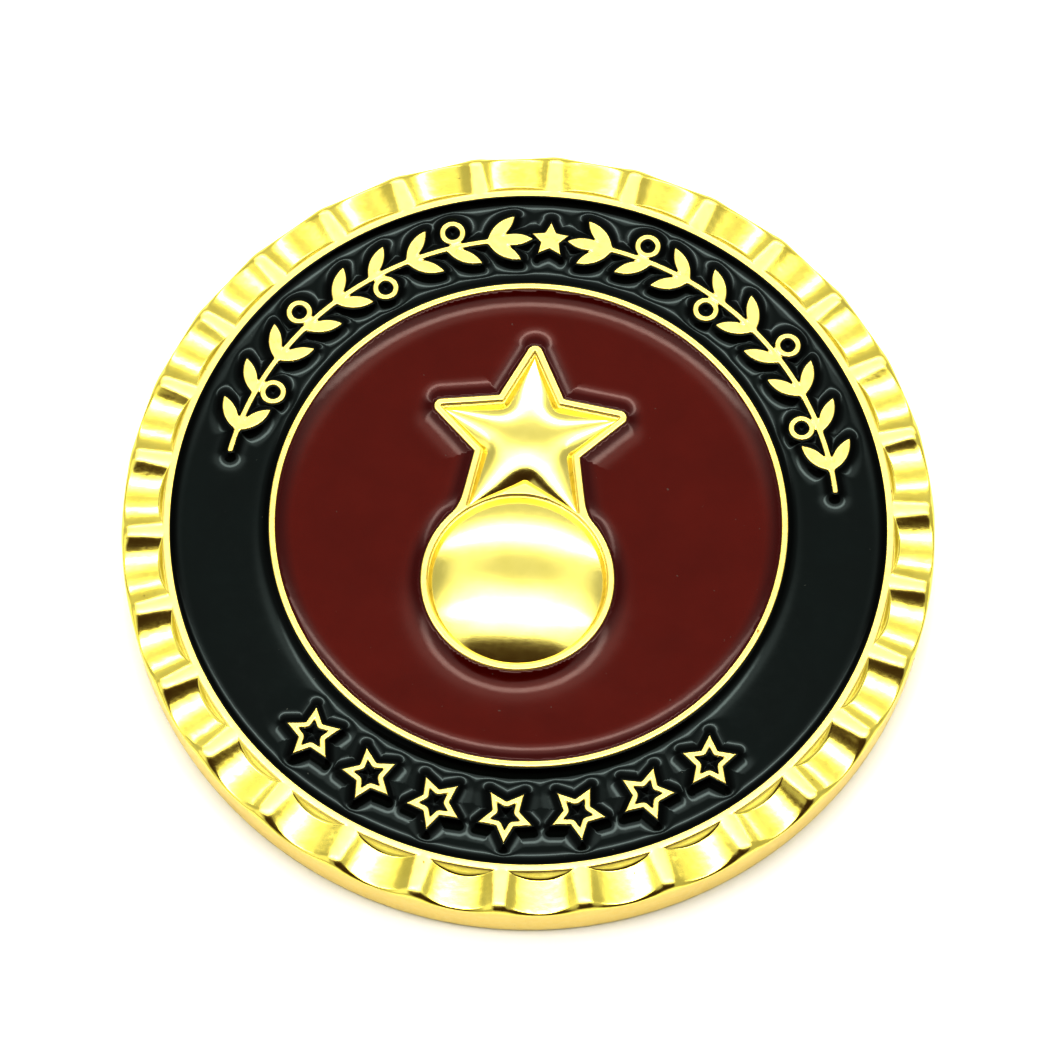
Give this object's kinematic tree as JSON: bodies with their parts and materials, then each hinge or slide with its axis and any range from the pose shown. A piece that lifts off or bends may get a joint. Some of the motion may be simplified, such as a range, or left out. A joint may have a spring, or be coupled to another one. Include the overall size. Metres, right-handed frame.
{
  "type": "challenge coin",
  "caption": "Round gold-plated medallion with a scalloped rim, a black and a maroon enamel field, and a domed disc-and-star emblem in relief.",
  "frame": {"origin": "middle of the reverse, on the plane that the reverse rim rests on", "axes": "+Z out of the face, through the coin's thickness; +Y towards the top of the design; +X to the right of the design"},
  "size_m": [0.05, 0.05, 0.0047],
  "materials": {
    "gold_plate": "polished gold plating over a struck brass body",
    "black_enamel": "glossy black soft enamel, cured in its recess",
    "maroon_enamel": "glossy maroon soft enamel, cured in its recess"
  },
  "bodies": {
    "root": {"coin_body": "gold_plate", "black_enamel_ring": "black_enamel", "maroon_enamel_disc": "maroon_enamel", "berry_enamel_1": "black_enamel", "berry_enamel_2": "black_enamel", "berry_enamel_3": "black_enamel", "berry_enamel_4": "black_enamel", "berry_enamel_5": "black_enamel", "berry_enamel_6": "black_enamel", "berry_enamel_7": "black_enamel", "berry_enamel_8": "black_enamel", "star_enamel_1": "black_enamel", "star_enamel_2": "black_enamel", "star_enamel_3": "black_enamel", "star_enamel_4": "black_enamel", "star_enamel_5": "black_enamel", "star_enamel_6": "black_enamel", "star_enamel_7": "black_enamel"}
  },
  "joints": []
}
